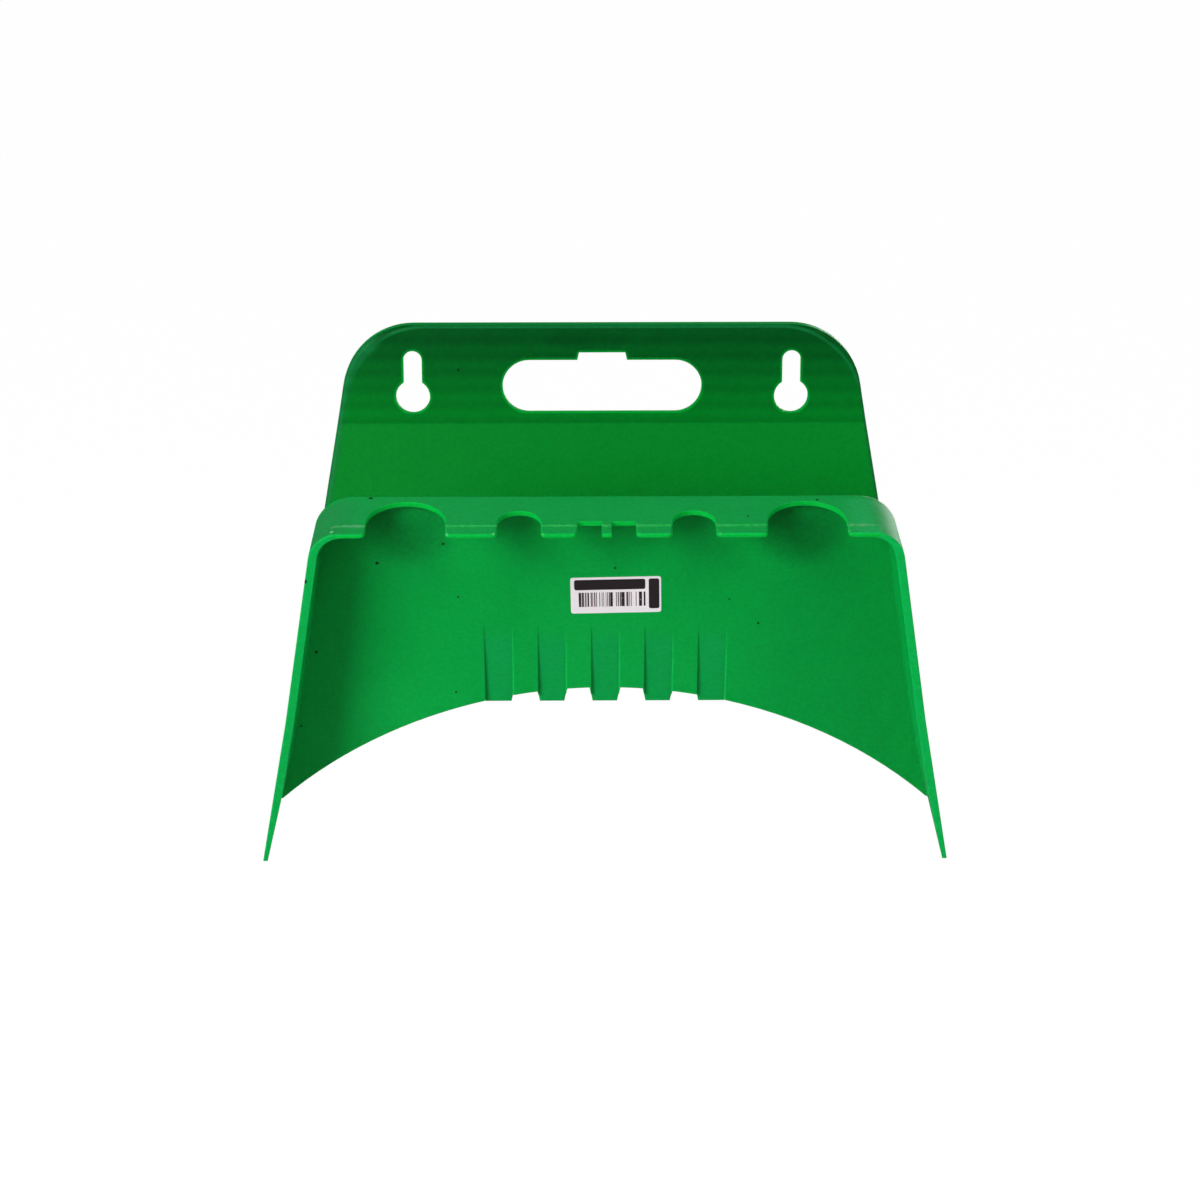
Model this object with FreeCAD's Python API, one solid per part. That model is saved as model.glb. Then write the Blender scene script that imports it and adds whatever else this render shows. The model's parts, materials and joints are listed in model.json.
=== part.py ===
import FreeCAD, Part
import math
import os

from FreeCAD import Base

# Hose hanger: one moulding with a wall plate, an arched saddle that carries the coil,
# a front flange that leans outwards, and a rim round the flange with a notched shelf.
# X runs to the right, Y into the wall and Z up. The origin lies on the wall,
# midway between the round heads of the two keyholes. Sizes are in millimetres.

# walls
plate_wall = 2.8
back_wall = 2.5
web_wall = 2.6
flange_wall = 2.5
shelf_wall = 2.1
rim_wall = 3.6
leg_tip_wall = 2.0

# wall plate
plate_depth = 7.0
plate_above_screws = 32.3
plate_half_at_crease = 118.7
plate_corner_radius = 32.0
plate_edge_round = 2.0
crease_below_screws = 12.3
back_flare = 9.6
back_lean = 12.0

# keyholes
screw_spacing = 169.2
key_head_radius = 7.6
key_slot_radius = 4.1
key_travel = 16.6

# hand slot and the small notch in its upper edge
hand_length = 89.0
hand_height = 23.7
hand_above_screws = 4.7
hand_notch_width = 22.6
hand_notch_top_width = 20.6
hand_notch_height = 3.4

# arched saddle
crown_below_screws = 104.1
arch_radius = 204.0

# front flange
flange_from_plate = 100.0
flange_lean = 16.0
flange_height = 93.7
flange_half_at_crest = 117.0
flange_half_at_knee = 131.6
knee_height = 4.5
flange_half_at_foot = 143.2
crest_round = 2.0

# rim round the flange
rim_depth_top = 28.0
rim_depth_foot = 34.5
rim_draft = 2.3
rim_corner_rear = 17.0
rim_corner_front = 14.0
foot_height = 57.8
foot_drop = 7.4
leg_taper_below_crown = 32.0
land_width = 6.2
land_half = 110.5
land_step = 0.5
rim_edge_round = 0.5
shelf_edge_round = 0.8
pocket_round = 0.6

# notches for fittings in the shelf
large_notch_radius = 16.1
large_notch_offset = 80.8
small_notch_radius = 8.8
small_notch_offset = 35.2
notch_centre_behind_edge = 8.5
slit_width = 9.9
slit_depth = 9.0
slit_tab_width = 3.9
tab_corner_radius = 2.0

# channels pressed into the crown of the saddle
channel_count = 5
channel_pitch = 22.5
channel_top_width = 13.2
channel_foot_width = 10.4
channel_depth = 7.3
channel_wall = 2.0
facet_height = 31.7
facet_recess = 1.9
facet_margin = 0.7

REACH = 400.0

plate_front = -plate_depth
crown_y = plate_front - flange_from_plate
crown_z = -crown_below_screws
crease_z = -crease_below_screws
arch_axis_z = crown_z - arch_radius


def sin(angle):
    return math.sin(math.radians(angle))


def cos(angle):
    return math.cos(math.radians(angle))


def tan(angle):
    return math.tan(math.radians(angle))


def vec(x, y, z):
    return Base.Vector(x, y, z)


def polygon(points):
    return Part.Face(Part.makePolygon(points + [points[0]]))


def prism_along_x(points_yz, half_length):
    face = polygon([vec(-half_length, y, z) for y, z in points_yz])
    return face.extrude(vec(2 * half_length, 0, 0))


def rounded_wire(points, radii):
    """A closed wire through the points, each corner turned with its own radius."""
    count = len(points)
    edges = []
    starts = []
    ends = []
    for i, point in enumerate(points):
        before = (points[i - 1] - point).normalize()
        after = (points[(i + 1) % count] - point).normalize()
        half = before.getAngle(after) / 2
        reach = radii[i] / math.tan(half)
        starts.append(point + before * reach)
        ends.append(point + after * reach)
        if radii[i]:
            middle_way = (before + after).normalize()
            centre = point + middle_way * (radii[i] / math.sin(half))
            middle = centre - middle_way * radii[i]
            edges.append(Part.Arc(starts[i], middle, ends[i]).toShape())
    lines = [Part.makeLine(ends[i], starts[(i + 1) % count]) for i in range(count)]
    return Part.Wire(Part.__sortEdges__(edges + lines))


def in_flange(shape):
    """Turns a shape from the flange's own axes (across, up, forward) into the hanger's."""
    turn = Base.Rotation(vec(1, 0, 0), vec(0, -sin(flange_lean), cos(flange_lean)),
                         vec(0, -cos(flange_lean), -sin(flange_lean)), "XYZ")
    placed = shape.copy()
    placed.Placement = Base.Placement(vec(0, crown_y, crown_z), turn)
    return placed


def arch(radius):
    """A long cylinder under the saddle, from behind the wall to in front of the rim."""
    return Part.makeCylinder(radius, 2 * REACH, vec(0, -REACH, arch_axis_z), vec(0, 1, 0))


def channel_centres():
    first = -(channel_count - 1) / 2
    return [(first + i) * channel_pitch for i in range(channel_count)]


def channel_side(centre, side, inset, z):
    """How far a channel's side lies from its middle. The outermost sides are upright, the rest taper."""
    if side * centre > (channel_count - 1.5) / 2 * channel_pitch:
        return channel_top_width / 2 - facet_margin - inset
    slope = (channel_top_width - channel_foot_width) / 2 / channel_depth
    return channel_foot_width / 2 - inset + slope * (z - crown_z + channel_depth)


def channel_prism(centre, inset, foot_z, top_z):
    """A channel form along Y, narrower at its foot."""
    corners = [(-1, foot_z), (1, foot_z), (1, top_z), (-1, top_z)]
    points = [vec(centre + side * channel_side(centre, side, inset, z), -REACH, z) for side, z in corners]
    return polygon(points).extrude(vec(0, 2 * REACH, 0))


def under_saddle():
    """The space under the arch, without the channels that hang into it."""
    space = arch(arch_radius)
    for centre in channel_centres():
        space = space.cut(channel_prism(centre, 0, crown_z - channel_depth, crown_z + web_wall))
    return space


def back_outline(inset):
    """The outline of the plate and of the back below it, as a face in the XZ plane."""
    top_z = plate_above_screws - inset
    foot_z = crown_z - foot_height - 20
    half_top = plate_half_at_crease - tan(back_flare) * (plate_above_screws - crease_z)
    half_top += tan(back_flare) * inset - inset / cos(back_flare)
    half_foot = half_top + tan(back_flare) * (top_z - foot_z)
    radius = plate_corner_radius - inset
    points = [vec(-half_top, 0, top_z), vec(half_top, 0, top_z), vec(half_foot, 0, foot_z), vec(-half_foot, 0, foot_z)]
    return Part.Face(rounded_wire(points, [radius, radius, 0, 0]))


def back_side(wall_plate, wall_back, top_z, rear_y):
    """The side view of the plate and the leaning back, set in by their walls."""
    foot_z = crown_z - foot_height - 20
    front = plate_front + wall_plate
    back_shift = wall_back / cos(back_lean)
    crease_front = plate_front + back_shift
    foot_front = crease_front - tan(back_lean) * (crease_z - foot_z)
    bend_z = crease_z + (crease_front - front) / tan(back_lean) if wall_back else crease_z
    return [(rear_y, top_z), (front, top_z), (front, bend_z), (foot_front, foot_z), (rear_y, foot_z)]


def make_back():
    """The plate and the leaning back with a skirt to the wall, hollow behind."""
    outline = back_outline(0).extrude(vec(0, -REACH, 0))
    solid = outline.common(prism_along_x(back_side(0, 0, plate_above_screws, 0), REACH))
    edges = []
    for edge in solid.Edges:
        middle = edge.valueAt((edge.FirstParameter + edge.LastParameter) / 2)
        on_plate = abs(middle.y - plate_front) < 0.01 and middle.z > crease_z + 0.01
        on_back = middle.y < plate_front - 1 and middle.z < crease_z and abs(middle.x) > 50
        if on_plate or (on_back and edge.Length > 60):
            edges.append(edge)
    solid = solid.makeFillet(plate_edge_round, edges)
    hollow = back_outline(back_wall).extrude(vec(0, -REACH, 0))
    side = back_side(plate_wall, back_wall, plate_above_screws, 1)
    hollow = hollow.common(prism_along_x(side, REACH))
    return solid.cut(hollow)


def make_web():
    """The arched saddle from the wall to the flange, with its channels."""
    ring = arch(arch_radius + web_wall).cut(arch(arch_radius))
    outline = back_outline(0)
    span = outline.extrude(vec(0, crown_y - REACH, 0))
    web = ring.common(span)
    for centre in channel_centres():
        web = web.fuse(channel_prism(centre, 0, crown_z - channel_depth, crown_z).common(span))
    for centre in channel_centres():
        floor_z = crown_z - channel_depth + web_wall
        web = web.cut(channel_prism(centre, channel_wall, floor_z, crown_z + 3 * web_wall))
    return web.cut(in_flange(Part.makeBox(2 * REACH, 2 * REACH, REACH, vec(-REACH, -REACH, -flange_wall / 2))))


def rim_outline(depth, side_wall, top_wall):
    """The outline of the rim at a distance in front of the flange, set in by its walls."""
    grow = tan(rim_draft) * depth - side_wall
    top = flange_height - top_wall
    flare = (flange_half_at_knee - flange_half_at_crest) / (flange_height - knee_height)
    half_top = flange_half_at_crest + grow + flare * top_wall
    half_knee = flange_half_at_knee + grow
    spread = (flange_half_at_foot - flange_half_at_knee) / (knee_height + foot_height)
    foot = -foot_height - 4 * foot_drop
    half_foot = half_knee + spread * (knee_height - foot)
    travel = (depth + flange_wall) / (rim_depth_top + flange_wall)
    radius = rim_corner_rear + (rim_corner_front - rim_corner_rear) * travel - side_wall
    right = [vec(half_top, top, depth), vec(half_knee, knee_height, depth)]
    if side_wall:
        thinning = (side_wall - leg_tip_wall) / (foot_height + foot_drop - leg_taper_below_crown)
        right.append(vec(half_knee + spread * (knee_height + leg_taper_below_crown), -leg_taper_below_crown, depth))
        half_foot += thinning * (-foot - leg_taper_below_crown)
    right.append(vec(half_foot, foot, depth))
    left = [vec(-point.x, point.y, depth) for point in reversed(right)]
    return rounded_wire(right + left, [radius] + [0] * (2 * len(right) - 2) + [radius])


def rim_loft(start, end, side_wall, top_wall):
    return Part.makeLoft([rim_outline(depth, side_wall, top_wall) for depth in (start, end)], True, True)


def edges_where(solid, test):
    """The edges whose middle point passes a test."""
    chosen = []
    for edge in solid.Edges:
        middle = edge.valueAt((edge.FirstParameter + edge.LastParameter) / 2)
        if test(middle):
            chosen.append(edge)
    return chosen


def front_depth(height):
    """How far the rim's front edge stands in front of the flange at a height."""
    return rim_depth_top + (rim_depth_foot - rim_depth_top) * (flange_height - height) / (flange_height + foot_height)


def make_front():
    """The flange with its rim, a shallow tray open to the front, with rounded edges."""
    longest = rim_depth_foot + 10
    low = -foot_height - 40
    high = flange_height + 20
    tray = rim_loft(-flange_wall, longest, 0, 0)
    ahead = [(front_depth(high), high), (front_depth(low), low), (REACH, low), (REACH, high)]
    tray = tray.cut(flange_prism(ahead))
    lip = edges_where(tray, lambda at: abs(at.z - front_depth(at.y)) < 0.01 and at.y > low + 1)
    tray = tray.makeFillet(rim_edge_round, lip)
    rear = edges_where(tray, lambda at: abs(at.z + flange_wall) < 0.01 and at.y > low / 2)
    tray = tray.makeFillet(crest_round, rear)
    pocket = rim_loft(0, longest + 1, rim_wall, shelf_wall)
    floor = edges_where(pocket, lambda at: abs(at.z) < 0.01 and at.y > low / 2)
    tray = tray.cut(pocket.makeFillet(pocket_round, floor))
    return tray


def trim_feet(front):
    """Cuts the legs off at their sloping feet."""
    slope = foot_drop / rim_depth_foot
    feet = [(-20, -foot_height + slope * 20), (REACH, -foot_height - slope * REACH), (REACH, -REACH), (-20, -REACH)]
    return front.cut(flange_prism(feet))


def flange_prism(points_depth_height):
    """A prism across the whole flange, in the flange's own axes."""
    face = polygon([vec(-REACH, height, depth) for depth, height in points_depth_height])
    return face.extrude(vec(2 * REACH, 0, 0))


def mouth_corner(x, side):
    """What a tab loses where its front corner is rounded, at one side of a notch's mouth."""
    below = flange_height - 3 * shelf_wall
    tall = 6 * shelf_wall
    start_depth = rim_depth_top - tab_corner_radius
    corner_x = x if side > 0 else x - tab_corner_radius
    block = Part.makeBox(tab_corner_radius, tall, REACH, vec(corner_x, below, start_depth))
    post = Part.makeCylinder(tab_corner_radius, tall, vec(x + side * tab_corner_radius, below, start_depth), vec(0, 1, 0))
    return block.cut(post)


def shelf_notch(centre, radius):
    """A round-bottomed notch that opens to the front of the shelf."""
    middle = rim_depth_top - notch_centre_behind_edge
    below = flange_height - 3 * shelf_wall
    tall = 6 * shelf_wall
    round_end = Part.makeCylinder(radius, tall, vec(centre, below, middle), vec(0, 1, 0))
    mouth = Part.makeBox(2 * radius, tall, REACH, vec(centre - radius, below, middle))
    corners = [mouth_corner(centre + side * radius, side) for side in (-1, 1)]
    return round_end.fuse([mouth] + corners)


def cut_shelf(front):
    """The fitting notches, the two slits and the low step along the shelf's front."""
    step_corner = vec(-land_half, flange_height - land_step, rim_depth_top - land_width)
    front = front.cut(Part.makeBox(2 * land_half, REACH, REACH, step_corner))
    for side in (-1, 1):
        front = front.cut(shelf_notch(side * large_notch_offset, large_notch_radius))
        front = front.cut(shelf_notch(side * small_notch_offset, small_notch_radius))
        slit_start = slit_tab_width / 2 if side > 0 else -slit_tab_width / 2 - slit_width
        corner = vec(slit_start, flange_height - 3 * shelf_wall, rim_depth_top - slit_depth)
        slit = Part.makeBox(slit_width, 6 * shelf_wall, REACH, corner)
        outer_x = side * (slit_tab_width / 2 + slit_width)
        front = front.cut(slit.fuse(mouth_corner(outer_x, side)))
    land = flange_height - land_step
    edge_start = rim_depth_top - tab_corner_radius
    lip = edges_where(front, lambda at: abs(at.y - land) < 0.01 and at.z > edge_start and abs(at.x) < land_half)
    return front.makeFillet(shelf_edge_round, lip)


def facet_cut(centre):
    """The sloping recess in the flange's face above one channel."""
    foot = -channel_depth / cos(flange_lean) - 10
    sink = facet_recess * (facet_height - foot) / (facet_height + channel_depth)
    half = channel_top_width / 2 - facet_margin
    points = [vec(centre - half, facet_height, 0), vec(centre - half, foot, -sink), vec(centre - half, foot, 5),
              vec(centre - half, facet_height, 5)]
    return polygon(points).extrude(vec(2 * half, 0, 0))


def cut_holes(solid):
    """Keyholes and the hand slot through the plate."""
    start = vec(0, plate_front - 20, 0)
    length = plate_depth + 40
    for side in (-1, 1):
        middle = side * screw_spacing / 2
        head = Part.makeCylinder(key_head_radius, length, start + vec(middle, 0, 0), vec(0, 1, 0))
        slot_top = Part.makeCylinder(key_slot_radius, length, start + vec(middle, 0, key_travel), vec(0, 1, 0))
        neck = Part.makeBox(2 * key_slot_radius, length, key_travel, start + vec(middle - key_slot_radius, 0, 0))
        solid = solid.cut(head.fuse([slot_top, neck]))
    radius = hand_height / 2
    straight = hand_length - hand_height
    slot = Part.makeBox(straight, length, hand_height, start + vec(-straight / 2, 0, hand_above_screws - radius))
    for side in (-1, 1):
        end = start + vec(side * straight / 2, 0, hand_above_screws)
        slot = slot.fuse(Part.makeCylinder(radius, length, end, vec(0, 1, 0)))
    foot_z = hand_above_screws + radius - 1
    top_z = hand_above_screws + radius + hand_notch_height
    notch = polygon([start + vec(-hand_notch_width / 2, 0, foot_z), start + vec(hand_notch_width / 2, 0, foot_z),
                     start + vec(hand_notch_top_width / 2, 0, top_z), start + vec(-hand_notch_top_width / 2, 0, top_z)])
    return solid.cut(slot.fuse(notch.extrude(vec(0, length, 0))))


def make_hanger():
    back = cut_holes(make_back())
    below = under_saddle()
    front = in_flange(trim_feet(cut_shelf(make_front())))
    panel = in_flange(flange_prism([(-2 * flange_wall, -REACH), (-2 * flange_wall, REACH), (0, REACH), (0, -REACH)]))
    front = front.cut(panel.common(below))
    body = back.cut(below).fuse([make_web(), front])
    for centre in channel_centres():
        body = body.cut(in_flange(facet_cut(centre)))
    return body.removeSplitter()


os.makedirs("parts", exist_ok=True)
hanger = make_hanger()
hanger.exportStep("parts/hanger_body.step")
box = hanger.BoundBox
print("solids", len(hanger.Solids), "valid", hanger.isValid(), "volume cm3", round(hanger.Volume / 1000, 1))
print("size", round(box.XLength, 1), round(box.YLength, 1), round(box.ZLength, 1))
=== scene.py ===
import bpy
import json
import math
from mathutils import Matrix, Vector

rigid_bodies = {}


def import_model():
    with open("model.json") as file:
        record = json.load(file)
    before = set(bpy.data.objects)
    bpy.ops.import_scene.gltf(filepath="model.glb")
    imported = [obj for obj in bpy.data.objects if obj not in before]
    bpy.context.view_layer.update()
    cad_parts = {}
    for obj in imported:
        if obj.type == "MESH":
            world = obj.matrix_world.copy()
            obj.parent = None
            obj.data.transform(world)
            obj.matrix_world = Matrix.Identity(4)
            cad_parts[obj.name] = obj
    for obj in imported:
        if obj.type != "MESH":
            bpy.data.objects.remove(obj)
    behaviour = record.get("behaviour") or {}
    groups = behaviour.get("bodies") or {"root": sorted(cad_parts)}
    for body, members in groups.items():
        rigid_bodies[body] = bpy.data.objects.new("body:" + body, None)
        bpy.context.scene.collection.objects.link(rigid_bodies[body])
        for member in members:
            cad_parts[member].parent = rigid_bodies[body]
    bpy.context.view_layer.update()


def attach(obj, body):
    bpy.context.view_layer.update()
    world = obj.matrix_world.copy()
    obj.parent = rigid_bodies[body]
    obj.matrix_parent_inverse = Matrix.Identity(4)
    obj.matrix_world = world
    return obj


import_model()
bpy.ops.object.select_all(action='DESELECT')

mm = 0.001
scene = bpy.context.scene

# The flange leans out at the top, so the marks on it use its own axes: across, up the flange and forward.
flangeValues = {
    "lean": math.radians(16.0),
    "crown": Vector((0, -107.0, -104.1)) * mm,
    "height": 93.7 * mm,
}
leanSin = math.sin(flangeValues["lean"])
leanCos = math.cos(flangeValues["lean"])
flangeAxes = Matrix((
    (1, 0, 0, flangeValues["crown"].x),
    (0, -leanSin, -leanCos, flangeValues["crown"].y),
    (0, leanCos, -leanSin, flangeValues["crown"].z),
    (0, 0, 0, 1)))


def inMm(*numbers):
    return tuple(number * mm for number in numbers)


# camera, fitted to the photograph
cameraValues = {
    "place": inMm(-15.8, -1285.6, 286.0),
    "downDegrees": 16.6,
    "rightDegrees": 0.665,
    "lens": 87.6,
    "sensorWidth": 36,
    "clipEnd": 60,
}


def addCamera(values):
    turn = (math.radians(90 - values["downDegrees"]), 0, math.radians(-values["rightDegrees"]))
    bpy.ops.object.camera_add(location=values["place"], rotation=turn)
    camera = bpy.context.object
    camera.name = "photoCamera"
    camera.data.lens = values["lens"]
    camera.data.sensor_width = values["sensorWidth"]
    camera.data.clip_end = values["clipEnd"]
    scene.camera = camera


addCamera(cameraValues)
print("camera set")


def newMaterial(name):
    material = bpy.data.materials.new(name)
    material.use_nodes = True
    tree = material.node_tree
    return material, tree, tree.nodes["Principled BSDF"]


def addNode(tree, kind, **settings):
    node = tree.nodes.new(kind)
    for key, value in settings.items():
        setattr(node, key, value)
    return node


def feed(tree, socket, value):
    if isinstance(value, (int, float, tuple, Vector)):
        socket.default_value = value
    else:
        tree.links.new(value, socket)


def maths(tree, operation, first, second=None):
    node = addNode(tree, "ShaderNodeMath", operation=operation)
    feed(tree, node.inputs[0], first)
    if second is not None:
        feed(tree, node.inputs[1], second)
    return node.outputs[0]


def product(tree, *factors):
    result = factors[0]
    for factor in factors[1:]:
        result = maths(tree, 'MULTIPLY', result, factor)
    return result


def dotProduct(tree, first, second):
    node = addNode(tree, "ShaderNodeVectorMath", operation='DOT_PRODUCT')
    feed(tree, node.inputs[0], first)
    feed(tree, node.inputs[1], second)
    return node.outputs["Value"]


def distanceFrom(tree, value, middle):
    return maths(tree, 'ABSOLUTE', maths(tree, 'SUBTRACT', value, middle))


def sumOfSquares(tree, sides):
    squares = [maths(tree, 'POWER', side, 2.0) for side in sides]
    return maths(tree, 'ADD', squares[0], squares[1])


def ramp(tree, value, low, high, toLow=0.0, toHigh=1.0):
    node = addNode(tree, "ShaderNodeMapRange", interpolation_type='SMOOTHSTEP')
    feed(tree, node.inputs["Value"], value)
    node.inputs["From Min"].default_value = low
    node.inputs["From Max"].default_value = high
    node.inputs["To Min"].default_value = toLow
    node.inputs["To Max"].default_value = toHigh
    return node.outputs["Result"]


def within(tree, value, rise, fall):
    return product(tree, ramp(tree, value, *rise), ramp(tree, value, *fall))


def noise(tree, place, scale, detail=2.0, roughness=0.5):
    node = addNode(tree, "ShaderNodeTexNoise")
    feed(tree, node.inputs["Vector"], place)
    node.inputs["Scale"].default_value = scale
    node.inputs["Detail"].default_value = detail
    node.inputs["Roughness"].default_value = roughness
    return node.outputs["Fac"]


def mixColour(tree, factor, first, second):
    node = addNode(tree, "ShaderNodeMix", data_type='RGBA')
    feed(tree, node.inputs[0], factor)
    feed(tree, node.inputs[6], first)
    feed(tree, node.inputs[7], second)
    return node.outputs[2]


def alongAxis(tree, place, axes, column):
    direction = Vector([axes[row][column] for row in range(3)])
    return maths(tree, 'SUBTRACT', dotProduct(tree, place, direction), direction.dot(axes.translation))


# the moulded green plastic of the whole hanger
# The wall plate and the back carry painted shade: they are coloured darker than the front, the plate darkest at
# its top, with faint bands on the plate.
# A range is where a mask starts and where it is full, and some add its lowest and highest value.
plasticValues = {
    "green": (0.001, 0.39, 0.058, 1),
    "paleGreen": (0.003, 0.44, 0.072, 1),
    # painted shade: the back and the plate are darker greens than the front, darkest at the plate's top
    "backShadeGreen": (0.0002, 0.27, 0.023, 1),
    "plateShadeGreen": (0.0002, 0.232, 0.020, 1),
    "plateTopShadeGreen": (0.0002, 0.102, 0.014, 1),
    # painted highlight: the colour laid on every rounded edge
    "edgeGreen": (0.010, 0.55, 0.14, 1),
    # painted light: brighter greens for the rims' front edges, lit more at the right than at the left
    "rimLeftLitGreen": (0.003, 0.46, 0.088, 1),
    "rimRightLitGreen": (0.003, 0.53, 0.100, 1),
    # painted glow: a bright green for cut walls and hole walls, standing for light through the thin plastic
    "cutGlowGreen": (0.0005, 0.52, 0.055, 1),
    # painted sheen: the greyer green of the shelf's top
    "shelfSheenGreen": (0.011, 0.385, 0.078, 1),
    # painted sheen on the shelf's shoulders, greyer at the left and paler at the right
    "leftShoulderGreen": (0.018, 0.315, 0.076, 1),
    "rightShoulderGreen": (0.022, 0.45, 0.115, 1),
    # painted shade in the facet recesses and a painted highlight beside each
    "recessShadeGreen": (0.003, 0.40, 0.080, 1),
    "facetHighlightGreen": (0.004, 0.56, 0.10, 1),
    # painted sheen along the plate's outline
    "plateEdgeSheenGreen": (0.006, 0.22, 0.055, 1),
    # painted highlights on the corners of the shelf's tabs
    "paleCornerHighlight": (0.17, 0.66, 0.26, 1),
    # painted highlight: the pale line along the land
    "greyLandHighlight": (0.17, 0.34, 0.21, 1),
    "speckColour": (0.004, 0.035, 0.008, 1),

    "cloud": (11.0, 3.0),
    "mottle": (620.0, 3.0, 0.65),
    "grain": (1500.0, 2.0),
    "waviness": (38.0, 1.0),
    "cloudRange": (0.3, 0.7),

    "creaseZ": -12.3 * mm,
    "creaseSoftness": 0.8 * mm,
    "plateTopZ": 32.3 * mm,
    "plateY": -7.0 * mm,
    "backLean": math.radians(12.0),
    "skinRear": inMm(-2.0, -1.2),
    "skinFront": inMm(6.0, 1.0),
    "plateHalfTop": 111.2 * mm,
    "plateFlare": 0.169,
    "plateCorner": 32.0 * mm,

    "trayStart": inMm(-1.5, 0.0),
    "shelfSheenUnder": inMm(1.6, 0.8),
    "shelfSheenPatches": (0.2, 0.6, 0.5, 1.0),
    "leftShoulder": inMm(-98.0, -112.0),
    "rightShoulder": inMm(92.0, 106.0),
    "shoulderUnder": inMm(16.0, 4.0),
    "shoulderAhead": inMm(0.5, 2.5),
    "rimDepthTop": 28.0 * mm,
    "rimDepthSlope": 0.0429,
    "rimEdge": inMm(-0.9, -0.35),
    "rimTurn": inMm(-50.0, 80.0),
    "cutSlant": (0.7, 0.4),
    "cutUnder": inMm(2.2, 1.9),
    "cutAhead": inMm(0.8, 1.6),
    "cutAside": inMm(111.0, 109.0),
    "landDepth": 21.8 * mm,
    "landWidth": inMm(0.9, 0.4),
    "landUnder": inMm(1.2, 0.8),
    "landEnds": inMm(95.0, 99.0) + (0.18, 0.75),
    "landHighlightBreakup": (0.35, 0.6),

    "facetPitch": 22.5 * mm,
    "facetLineAt": 6.15 * mm,
    "facetTop": 31.7 * mm,
    "facetFade": 1.0 * mm,
    "facetFull": 8.0 * mm,
    "recessStart": inMm(-0.12, -0.5),
    "recessEnd": inMm(-2.4, -2.2),
    "facetLineWidth": inMm(0.4, 0.15),
    "facetLineAside": inMm(52.0, 51.8),
    "facetLineRear": inMm(-2.2, -1.9),
    "facetLineFront": inMm(1.0, 0.5),
    "facetLineMix": 0.75,

    "plateLineAt": 0.6 * mm,
    "plateLineWidth": inMm(1.0, 0.4) + (0.0, 0.7),
    "leftBandWidth": inMm(4.0, 1.5) + (0.0, 0.8),
    "leftBandAcross": inMm(-96.0, -104.0),
    "holeInset": inMm(5.0, 6.0),
    "holeHeight": inMm(-8.0, -7.5),
    "holeWallSlant": (0.6, 0.3),
    "holeWallDeep": inMm(-9.0, -8.0),
    "holeRimWidth": 2.2 * mm,
    "holeRimTurn": (0.99, 0.90, 0.0, 0.85),

    "bandPitch": 7.4 * mm,
    "bandAt": -3.3 * mm,
    "bandDepth": 0.08,
    "bandWander": 1.2,
    "mottleShade": (0.3, 0.7, 0.93, 1.07),
    "smearAt": inMm(-7.0, 25.5),
    "smearReach": inMm(21.0, 5.5),
    "smearFade": (1.0, 0.3),
    "smearShade": (0.35, 0.6, 0.06, 0.2),
    "faceAhead": inMm(1.2, 0.6),
    "faceUnder": inMm(1.5, 3.0),
    "notchAt": inMm(80.8, 82.0),
    "notchReach": inMm(24.0, 24.0),
    "notchShade": (1.0, 0.1, 0.0, 0.30),
    "rightShade": inMm(45.0, 85.0) + (0.0, 0.07),

    "edgeRadius": 0.45 * mm,
    "edgeTurn": (0.985, 0.80, 0.0, 0.5),
    "dotFade": 0.25,
    "cornerHighlightUnder": 0.5 * mm,
    "cornerHighlightBreakup": (0.38, 0.62),

    "roughness": (0.2, 0.8, 0.40, 0.54),
    "specular": 0.05,
    "glow": 0.7,
    "glowReach": (0.15, 1.0, 0.3),
    "glowScale": 1.6 * mm,
    "mottleRelief": 0.05,
    "bumpStrength": 0.35,
    "bumpDistance": 1.0 * mm,
}

# small black specks moulded into the flange, the shelf and the back: x, y, z and radius in mm
speckValues = (
    (-95.8, -132.9, -14.2, 0.85),
    (64.1, -115.9, -73.0, 0.55),
    (86.0, -135.1, -14.7, 0.65),
    (-121.7, -112.1, -86.3, 0.7),
    (-94.4, -124.2, -44.0, 0.75),
    (-121.7, -154.6, -43.0, 1.0),
    (-63.3, -106.4, -106.2, 0.5),
    (4.0, -123.5, -46.7, 0.5),
    (-66.9, -126.8, -35.2, 0.6),
    (-110.9, -138.4, -15.6, 0.5),
    (-25.3, -112.8, -83.8, 0.45),
    (-64.2, -7.0, 12.1, 0.6),
    (-130.0, -101.6, -122.8, 0.5),
    (57.2, -147.3, -18.2, 0.5),
    (-61.3, -119.6, -60.1, 0.45),
    (51.6, -119.2, -61.5, 0.4),
)

# small painted highlights on the corners of the shelf's tabs: x, distance in front of the flange and radius in
# mm
cornerHighlightValues = (
    (-64.3, 27.6, 0.9),
    (-110.2, 25.4, 0.8),
    (-45.2, 27.4, 0.6),
    (-25.8, 27.7, 0.7),
    (12.8, 27.5, 0.6),
    (97.6, 26.2, 0.7),
    (110.4, 24.6, 0.6),
    (45.3, 27.4, 0.5),
)


def plateFaceMask(tree, here, values):
    below = maths(tree, 'MAXIMUM', maths(tree, 'SUBTRACT', values["creaseZ"], here["height"]), 0.0)
    lean = maths(tree, 'MULTIPLY', below, math.tan(values["backLean"]))
    front = maths(tree, 'SUBTRACT', values["plateY"], lean)
    ahead = maths(tree, 'SUBTRACT', front, here["deep"])
    return within(tree, ahead, values["skinRear"], values["skinFront"])


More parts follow.
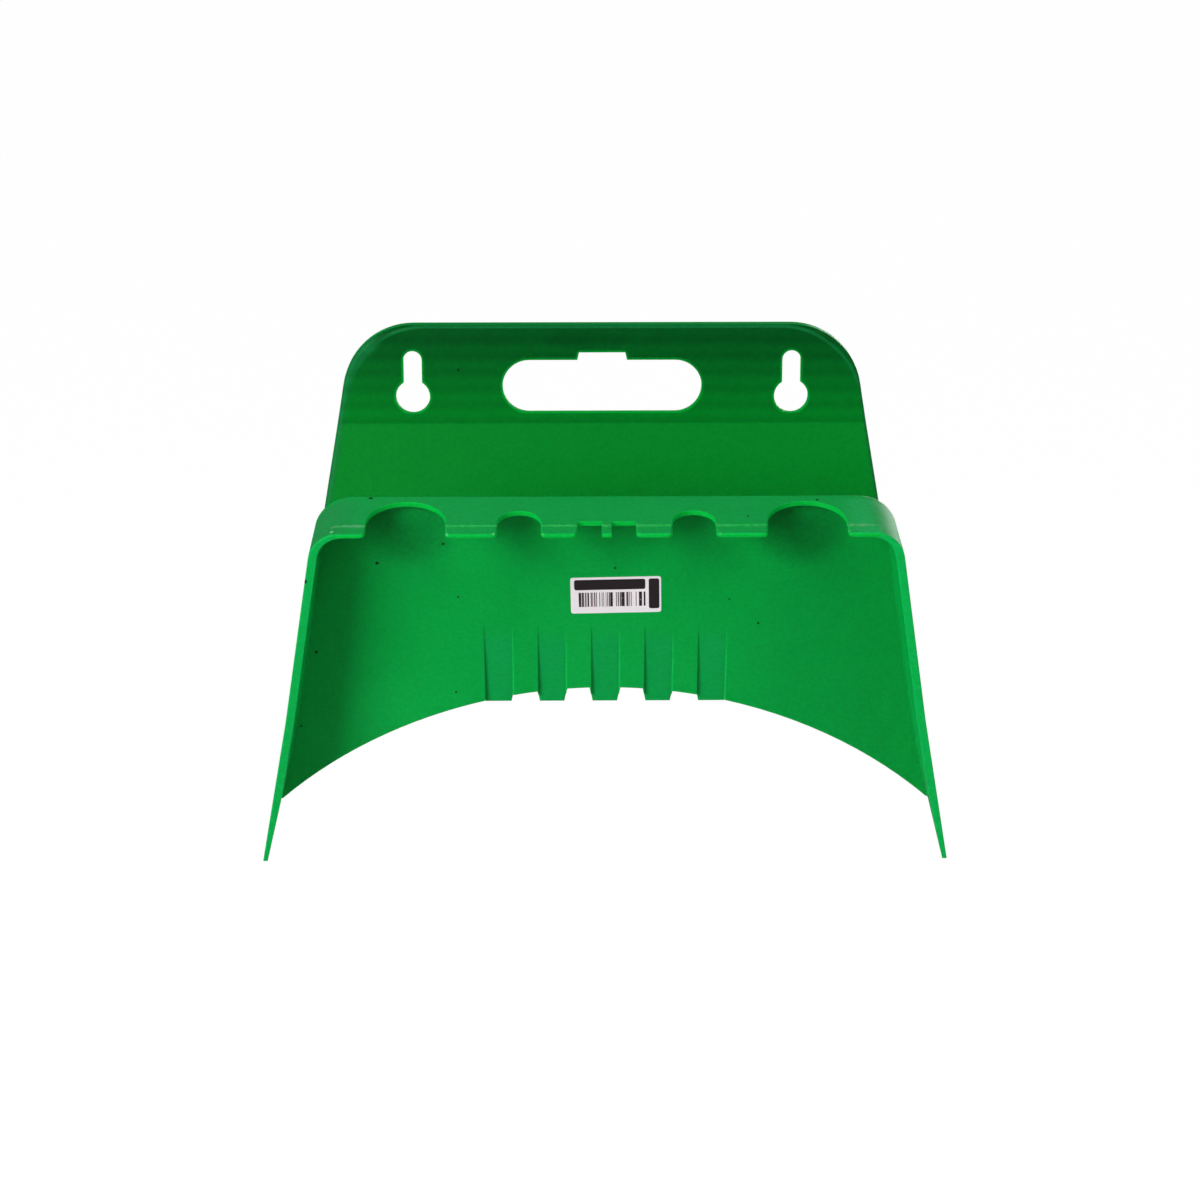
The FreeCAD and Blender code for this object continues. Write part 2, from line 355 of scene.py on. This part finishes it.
# how far a place on the plate lies in from the plate's outline
def plateInset(tree, here, values):
    corner = values["plateCorner"]
    fromTop = maths(tree, 'SUBTRACT', values["plateTopZ"], here["height"])
    wider = maths(tree, 'MULTIPLY', fromTop, values["plateFlare"])
    halfPlate = maths(tree, 'ADD', wider, values["plateHalfTop"])
    fromSide = maths(tree, 'SUBTRACT', halfPlate, here["aside"])
    sides = [maths(tree, 'MAXIMUM', maths(tree, 'SUBTRACT', corner, away), 0.0) for away in (fromSide, fromTop)]
    return maths(tree, 'SUBTRACT', corner, maths(tree, 'SQRT', sumOfSquares(tree, sides)))


def readSurface(tree, values):
    place = addNode(tree, "ShaderNodeTexCoord").outputs["Object"]
    split = addNode(tree, "ShaderNodeSeparateXYZ")
    feed(tree, split.inputs[0], place)
    here = {
        "place": place,
        "across": split.outputs["X"],
        "deep": split.outputs["Y"],
        "height": split.outputs["Z"],
        "aside": maths(tree, 'ABSOLUTE', split.outputs["X"]),
        "up": alongAxis(tree, place, flangeAxes, 1),
        "ahead": alongAxis(tree, place, flangeAxes, 2),
        "flat": addNode(tree, "ShaderNodeNewGeometry").outputs["Normal"],
    }
    here["under"] = maths(tree, 'SUBTRACT', flangeValues["height"], here["up"])
    for name in ("cloud", "mottle", "grain", "waviness"):
        here[name] = noise(tree, place, *values[name])
    crease = (values["creaseZ"] - values["creaseSoftness"], values["creaseZ"] + values["creaseSoftness"])
    here["aboveCrease"] = ramp(tree, here["height"], *crease)
    here["skin"] = plateFaceMask(tree, here, values)
    here["inset"] = plateInset(tree, here, values)
    inPlate = ramp(tree, here["inset"], *values["holeInset"])
    here["holeArea"] = product(tree, inPlate, ramp(tree, here["height"], *values["holeHeight"]))
    return here


def baseTone(tree, here, values):
    patches = ramp(tree, here["cloud"], *values["cloudRange"])
    front = mixColour(tree, patches, values["green"], values["paleGreen"])
    # painted shade: the plate darkens towards its top, and the plate and the back are darker than the front
    rise = ramp(tree, here["height"], values["creaseZ"], values["plateTopZ"])
    plate = mixColour(tree, rise, values["plateShadeGreen"], values["plateTopShadeGreen"])
    skin = mixColour(tree, here["aboveCrease"], values["backShadeGreen"], plate)
    return mixColour(tree, here["skin"], front, skin)


# painted sheen on the shelf's top and its shoulders, painted light on the rim's front edge and the cut walls,
# and a painted highlight line along the land
def shelfTone(tree, here, values, tone):
    tray = ramp(tree, here["ahead"], *values["trayStart"])
    # painted sheen: the shelf's top is mixed in patches towards a greyer green
    wear = ramp(tree, here["cloud"], *values["shelfSheenPatches"])
    shelfSheen = product(tree, tray, ramp(tree, here["under"], *values["shelfSheenUnder"]), wear)
    tone = mixColour(tree, shelfSheen, tone, values["shelfSheenGreen"])

    # painted sheen on the shoulders, a different green at each side
    high = ramp(tree, here["under"], *values["shoulderUnder"])
    clear = ramp(tree, here["ahead"], *values["shoulderAhead"])
    for side in ("leftShoulder", "rightShoulder"):
        corner = product(tree, ramp(tree, here["across"], *values[side]), high, clear)
        tone = mixColour(tree, corner, tone, values[side + "Green"])

    # painted light: the rims' front edges are coloured brighter, more so at the right
    deeper = maths(tree, 'MULTIPLY', here["under"], values["rimDepthSlope"])
    rimDepth = maths(tree, 'ADD', deeper, values["rimDepthTop"])
    rimFront = ramp(tree, maths(tree, 'SUBTRACT', here["ahead"], rimDepth), *values["rimEdge"])
    rimSide = ramp(tree, here["across"], *values["rimTurn"])
    rimLitGreen = mixColour(tree, rimSide, values["rimLeftLitGreen"], values["rimRightLitGreen"])
    tone = mixColour(tree, rimFront, tone, rimLitGreen)

    # painted glow on the walls cut by the notches
    level = dotProduct(tree, here["flat"], Vector((0, -leanSin, leanCos)))
    cutWallGlow = product(
        tree,
        ramp(tree, maths(tree, 'ABSOLUTE', level), *values["cutSlant"]),
        ramp(tree, here["under"], *values["cutUnder"]),
        ramp(tree, here["ahead"], *values["cutAhead"]),
        ramp(tree, here["aside"], *values["cutAside"]))
    tone = mixColour(tree, cutWallGlow, tone, values["cutGlowGreen"])

    # a painted highlight line along the land, broken up by the mottle
    landHighlight = product(
        tree,
        ramp(tree, distanceFrom(tree, here["ahead"], values["landDepth"]), *values["landWidth"]),
        tray,
        ramp(tree, here["under"], *values["landUnder"]),
        ramp(tree, here["aside"], *values["landEnds"]),
        ramp(tree, here["mottle"], *values["landHighlightBreakup"]))
    return mixColour(tree, landHighlight, tone, values["greyLandHighlight"])


# painted shade on the floors of the five facets and a painted highlight line along the right side of each
def facetTone(tree, here, values, tone):
    # painted shade on the recessed facet floors
    recess = product(
        tree,
        within(tree, here["ahead"], values["recessStart"], values["recessEnd"]),
        ramp(tree, here["up"], values["facetTop"] + values["facetFade"], values["facetTop"]))
    tone = mixColour(tree, recess, tone, values["recessShadeGreen"])

    # a painted highlight line beside each facet
    cell = maths(tree, 'ADD', maths(tree, 'DIVIDE', here["across"], values["facetPitch"]), 0.5)
    part = maths(tree, 'SUBTRACT', maths(tree, 'SUBTRACT', cell, maths(tree, 'FLOOR', cell)), 0.5)
    offset = maths(tree, 'MULTIPLY', part, values["facetPitch"])
    facetHighlight = product(
        tree,
        ramp(tree, distanceFrom(tree, offset, values["facetLineAt"]), *values["facetLineWidth"]),
        ramp(tree, here["aside"], *values["facetLineAside"]),
        ramp(tree, here["up"], values["facetTop"], values["facetFull"]),
        within(tree, here["ahead"], values["facetLineRear"], values["facetLineFront"]),
        values["facetLineMix"])
    return mixColour(tree, facetHighlight, tone, values["facetHighlightGreen"])


# a painted highlight line along the plate's outline, widened at the left into a painted sheen band, and painted
# glow on the walls of the holes
def plateTone(tree, here, values, tone):
    # painted highlight along the plate's outline and painted sheen along its left side
    line = ramp(tree, distanceFrom(tree, here["inset"], values["plateLineAt"]), *values["plateLineWidth"])
    leftSide = ramp(tree, here["across"], *values["leftBandAcross"])
    leftSheenBand = product(tree, ramp(tree, here["inset"], *values["leftBandWidth"]), leftSide)
    outline = product(tree, maths(tree, 'MAXIMUM', line, leftSheenBand), here["skin"])
    tone = mixColour(tree, outline, tone, values["plateEdgeSheenGreen"])

    # painted glow on the walls of the holes
    facing = addNode(tree, "ShaderNodeSeparateXYZ")
    feed(tree, facing.inputs[0], here["flat"])
    holeWallGlow = product(
        tree,
        ramp(tree, maths(tree, 'ABSOLUTE', facing.outputs["Y"]), *values["holeWallSlant"]),
        here["holeArea"],
        ramp(tree, here["deep"], *values["holeWallDeep"]))
    return mixColour(tree, holeWallGlow, tone, values["cutGlowGreen"])


def ovalMask(tree, places, centre, reach, fade):
    sides = []
    for place, middle, half in zip(places, centre, reach):
        sides.append(maths(tree, 'DIVIDE', maths(tree, 'SUBTRACT', place, middle), half))
    return ramp(tree, sumOfSquares(tree, sides), *fade)


# faint horizontal bands and a smear on the plate, a fine mottle, and painted shade on the flange's face under
# the large notches and towards the right
def brightness(tree, here, values):
    turns = maths(tree, 'SUBTRACT', here["height"], values["bandAt"])
    turns = maths(tree, 'MULTIPLY', turns, 2 * math.pi / values["bandPitch"])
    turns = maths(tree, 'ADD', turns, maths(tree, 'MULTIPLY', here["cloud"], values["bandWander"]))
    bands = product(tree, maths(tree, 'COSINE', turns), here["aboveCrease"], values["bandDepth"])
    mottled = ramp(tree, here["mottle"], *values["mottleShade"])
    bright = product(tree, maths(tree, 'SUBTRACT', 1.0, bands), mottled)

    onPlate = (here["across"], here["height"])
    smear = ovalMask(tree, onPlate, values["smearAt"], values["smearReach"], values["smearFade"])
    smear = product(tree, smear, here["skin"], ramp(tree, here["waviness"], *values["smearShade"]))
    bright = maths(tree, 'SUBTRACT', bright, smear)

    # painted shade: the flange's face darkens under the large notches and towards the right
    face = ramp(tree, maths(tree, 'ABSOLUTE', here["ahead"]), *values["faceAhead"])
    face = product(tree, face, ramp(tree, here["under"], *values["faceUnder"]))
    onFlange = (here["aside"], here["up"])
    notch = ovalMask(tree, onFlange, values["notchAt"], values["notchReach"], values["notchShade"])
    shade = maths(tree, 'ADD', notch, ramp(tree, here["across"], *values["rightShade"]))
    return maths(tree, 'SUBTRACT', bright, product(tree, shade, face))


def roundedNormal(tree, radius):
    bevel = addNode(tree, "ShaderNodeBevel")
    bevel.inputs["Radius"].default_value = radius
    return bevel.outputs["Normal"]


def dotMask(tree, place, centre, radius, fade):
    offset = addNode(tree, "ShaderNodeVectorMath", operation='DISTANCE')
    feed(tree, offset.inputs[0], place)
    feed(tree, offset.inputs[1], centre)
    return ramp(tree, offset.outputs["Value"], radius * (1 + fade), radius * (1 - fade))


def dotsMask(tree, place, dots, fade):
    mask = 0.0
    for centre, radius in dots:
        mask = maths(tree, 'MAXIMUM', mask, dotMask(tree, place, centre, radius, fade))
    return mask


# black specks all over and painted highlights on the corners of the shelf's tabs
def addMarks(tree, here, values, colour):
    specks = [(inMm(x, y, z), radius * mm) for x, y, z, radius in speckValues]
    speckMask = dotsMask(tree, here["place"], specks, values["dotFade"])
    colour = mixColour(tree, speckMask, colour, values["speckColour"])
    # painted highlights on the corners of the shelf's tabs
    cornerHighlightUp = flangeValues["height"] - values["cornerHighlightUnder"]
    cornerHighlights = []
    for x, ahead, radius in cornerHighlightValues:
        cornerHighlights.append((flangeAxes @ Vector((x * mm, cornerHighlightUp, ahead * mm)), radius * mm))
    cornerHighlightMask = dotsMask(tree, here["place"], cornerHighlights, values["dotFade"])
    cornerHighlightMask = product(tree, cornerHighlightMask, ramp(tree, here["mottle"], *values["cornerHighlightBreakup"]))
    return mixColour(tree, cornerHighlightMask, colour, values["paleCornerHighlight"])


def makePlastic(values):
    material, tree, shader = newMaterial("hangerPlastic")
    here = readSurface(tree, values)
    tone = baseTone(tree, here, values)
    for addTone in (shelfTone, facetTone, plateTone):
        tone = addTone(tree, here, values, tone)
    toned = addNode(tree, "ShaderNodeVectorMath", operation='SCALE')
    feed(tree, toned.inputs[0], tone)
    feed(tree, toned.inputs["Scale"], brightness(tree, here, values))

    soft = roundedNormal(tree, values["edgeRadius"])
    # painted highlight: every rounded edge is mixed towards a brighter green
    edge = ramp(tree, dotProduct(tree, soft, here["flat"]), *values["edgeTurn"])
    colour = mixColour(tree, edge, toned.outputs["Vector"], values["edgeGreen"])
    # painted highlight: a bright rim around the holes in the plate
    wide = roundedNormal(tree, values["holeRimWidth"])
    holeRimHighlight = ramp(tree, dotProduct(tree, wide, here["flat"]), *values["holeRimTurn"])
    holeRimHighlight = product(tree, holeRimHighlight, here["holeArea"], here["skin"])
    colour = mixColour(tree, holeRimHighlight, colour, values["cutGlowGreen"])
    colour = addMarks(tree, here, values, colour)
    feed(tree, shader.inputs["Base Color"], colour)

    feed(tree, shader.inputs["Roughness"], ramp(tree, here["grain"], *values["roughness"]))
    shader.inputs["Specular IOR Level"].default_value = values["specular"]
    shader.inputs["Subsurface Weight"].default_value = values["glow"]
    shader.inputs["Subsurface Radius"].default_value = values["glowReach"]
    shader.inputs["Subsurface Scale"].default_value = values["glowScale"]

    relief = maths(tree, 'MULTIPLY', here["mottle"], values["mottleRelief"])
    bump = addNode(tree, "ShaderNodeBump")
    bump.inputs["Strength"].default_value = values["bumpStrength"]
    bump.inputs["Distance"].default_value = values["bumpDistance"]
    feed(tree, bump.inputs["Height"], maths(tree, 'ADD', here["waviness"], relief))
    feed(tree, bump.inputs["Normal"], soft)
    feed(tree, shader.inputs["Normal"], bump.outputs["Normal"])
    return material


def dressNode(name, material):
    for item in bpy.data.objects:
        if item.type == 'MESH' and item.name == name:
            item.data.materials.clear()
            item.data.materials.append(material)


dressNode("hanger_body", makePlastic(plasticValues))
print("plastic set")


# the paper sticker on the flange, with plain dark fields and uneven bars, in the flange's axes
# A field is its middle across and up, its width and its height.
stickerValues = {
    "centre": inMm(4.35, 46.6),
    "size": inMm(37.7, 17.6),
    "turn": math.radians(1.2),
    "thickness": 0.13 * mm,
    "corner": 1.1 * mm,
    "cornerSteps": 6,
    "lift": 0.02 * mm,
    "paper": (0.98, 0.91, 0.95, 1),
    "ink": (0.013, 0.006, 0.009, 1),
    "fadedInk": (0.42, 0.33, 0.37, 1),
    "topField": inMm(-2.5, 5.2, 29.6, 5.0),
    "sideField": inMm(15.9, 0.4, 4.4, 14.7),
    "barField": inMm(-1.7, -2.1, 28.0, 7.0),
    "fieldCorner": 0.9 * mm,
    "barCorner": 0.1 * mm,
    "fieldFade": 0.06 * mm,
    "barPitch": 0.33 * mm,
    "barChance": (0.42, 0.46),
    "barInk": (0.62, 1.0),
    "wear": (900.0, 2.0),
    "wornPaper": (0.45, 0.75, 0.0, 0.35),
    "wornPrint": (0.62, 0.8, 0.0, 0.5),
    "roughness": 0.5,
    "specular": 0.3,
}


def fieldMask(tree, across, up, field, corner, fade):
    x, y, width, height = field
    sides = []
    for value, middle, half in ((across, x, width / 2), (up, y, height / 2)):
        away = distanceFrom(tree, value, middle)
        sides.append(maths(tree, 'MAXIMUM', maths(tree, 'SUBTRACT', away, half - corner), 0.0))
    reach = maths(tree, 'SQRT', sumOfSquares(tree, sides))
    return ramp(tree, reach, corner + fade, corner - fade)


def makeSticker(values, axes):
    material, tree, shader = newMaterial("stickerPaper")
    place = addNode(tree, "ShaderNodeTexCoord").outputs["Object"]
    across, up = [alongAxis(tree, place, axes, column) for column in (0, 1)]
    fieldCorners = (("topField", "fieldCorner"), ("sideField", "fieldCorner"), ("barField", "barCorner"))
    topField, sideField, bars = [
        fieldMask(tree, across, up, values[field], values[corner], values["fieldFade"])
        for field, corner in fieldCorners]
    chance = addNode(tree, "ShaderNodeTexWhiteNoise", noise_dimensions='1D')
    feed(tree, chance.inputs["W"], maths(tree, 'FLOOR', maths(tree, 'DIVIDE', across, values["barPitch"])))
    drawn = product(tree, ramp(tree, chance.outputs["Value"], *values["barChance"]), bars)
    faded = ramp(tree, chance.outputs["Value"], *values["barInk"])
    barInk = mixColour(tree, faded, values["ink"], values["fadedInk"])
    wear = noise(tree, place, *values["wear"])
    paper = mixColour(tree, ramp(tree, wear, *values["wornPaper"]), values["paper"], values["fadedInk"])
    colour = mixColour(tree, drawn, values["paper"], barInk)
    colour = mixColour(tree, ramp(tree, wear, *values["wornPrint"]), colour, paper)
    colour = mixColour(tree, maths(tree, 'MAXIMUM', topField, sideField), colour, values["ink"])
    feed(tree, shader.inputs["Base Color"], colour)
    shader.inputs["Roughness"].default_value = values["roughness"]
    shader.inputs["Specular IOR Level"].default_value = values["specular"]
    return material


def addSticker(values):
    width, height = values["size"]
    x, y = values["centre"]
    turn = Matrix.Rotation(values["turn"], 4, 'Z')
    axes = flangeAxes @ Matrix.Translation((x, y, values["lift"])) @ turn
    bpy.ops.mesh.primitive_plane_add(size=1)
    sticker = bpy.context.object
    sticker.name = "paperSticker"
    bpy.ops.object.mode_set(mode='EDIT')
    bpy.ops.mesh.select_all(action='SELECT')
    bpy.ops.transform.resize(value=(width, height, 1))
    bpy.ops.mesh.bevel(offset=values["corner"], segments=values["cornerSteps"], affect='VERTICES')
    bpy.ops.mesh.select_all(action='SELECT')
    bpy.ops.mesh.extrude_region_move(TRANSFORM_OT_translate={"value": (0, 0, values["thickness"])})
    bpy.ops.mesh.select_all(action='SELECT')
    bpy.ops.mesh.normals_make_consistent(inside=False)
    bpy.ops.object.mode_set(mode='OBJECT')
    sticker.data.transform(axes)
    sticker.data.materials.append(makeSticker(values, axes))
    sticker.select_set(False)
    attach(sticker, "root")


addSticker(stickerValues)
print("sticker set")


# floor, lamps and world
stageValues = {
    "floorZ": -0.90,
    "floorSize": 30.0,
    "floorWhite": 0.80,
    "floorRoughness": 0.9,
    "shadowShare": 0.12,
    "floorGlow": 1.12,
    "worldLight": 0.07,
}

lampValues = {
    "keyLeft": {"place": (-0.95, -1.30, 0.46), "aim": (0, -0.12, -0.06), "size": 0.75, "power": 22.0},
    "highRight": {"place": (0.65, -1.05, 1.07), "aim": (0, -0.12, -0.06), "size": 0.7, "power": 7.2},
    "sideRight": {"place": (1.50, -0.50, 0.45), "aim": (0, -0.12, -0.06), "size": 1.3, "power": 2.9},
    "backRight": {"place": (0.75, 1.40, 0.12), "aim": (0, -0.1, -0.05), "size": 0.7, "power": 9.5},
}


def addFloor(values):
    bpy.ops.mesh.primitive_plane_add(size=values["floorSize"], location=(0, 0, values["floorZ"]))
    floor = bpy.context.object
    floor.name = "studioFloor"
    material, tree, shader = newMaterial("paleFloor")
    white = values["floorWhite"]
    shader.inputs["Base Color"].default_value = (white, white, white, 1)
    shader.inputs["Roughness"].default_value = values["floorRoughness"]
    shader.inputs["Specular IOR Level"].default_value = 0.0
    glow = addNode(tree, "ShaderNodeEmission")
    glow.inputs["Strength"].default_value = values["floorGlow"]
    seen = addNode(tree, "ShaderNodeLightPath").outputs["Is Camera Ray"]
    mix = addNode(tree, "ShaderNodeMixShader")
    feed(tree, mix.inputs[0], maths(tree, 'MULTIPLY', seen, 1 - values["shadowShare"]))
    feed(tree, mix.inputs[1], shader.outputs[0])
    feed(tree, mix.inputs[2], glow.outputs[0])
    feed(tree, tree.nodes["Material Output"].inputs["Surface"], mix.outputs[0])
    floor.data.materials.append(material)
    floor.select_set(False)


def addLamp(name, values):
    place = Vector(values["place"])
    turn = (Vector(values["aim"]) - place).to_track_quat('-Z', 'Y').to_euler()
    bpy.ops.object.light_add(type='AREA', location=place, rotation=turn)
    lamp = bpy.context.object
    lamp.name = name
    lamp.data.size = values["size"]
    lamp.data.energy = values["power"]


def setWorld(values):
    world = bpy.data.worlds.new("paleWorld")
    scene.world = world
    world.use_nodes = True
    tree = world.node_tree
    back = tree.nodes["Background"]
    path = addNode(tree, "ShaderNodeLightPath")
    seen = maths(tree, 'MAXIMUM', path.outputs["Is Camera Ray"], path.outputs["Is Transmission Ray"])
    strength = addNode(tree, "ShaderNodeMapRange")
    feed(tree, strength.inputs["Value"], seen)
    strength.inputs["To Min"].default_value = values["worldLight"]
    strength.inputs["To Max"].default_value = 1.0
    feed(tree, back.inputs["Strength"], strength.outputs["Result"])
    back.inputs["Color"].default_value = (1, 1, 1, 1)


addFloor(stageValues)
for lampName, lampSettings in lampValues.items():
    addLamp(lampName, lampSettings)
setWorld(stageValues)
scene.view_settings.view_transform = 'Standard'
print("stage and lamps set")
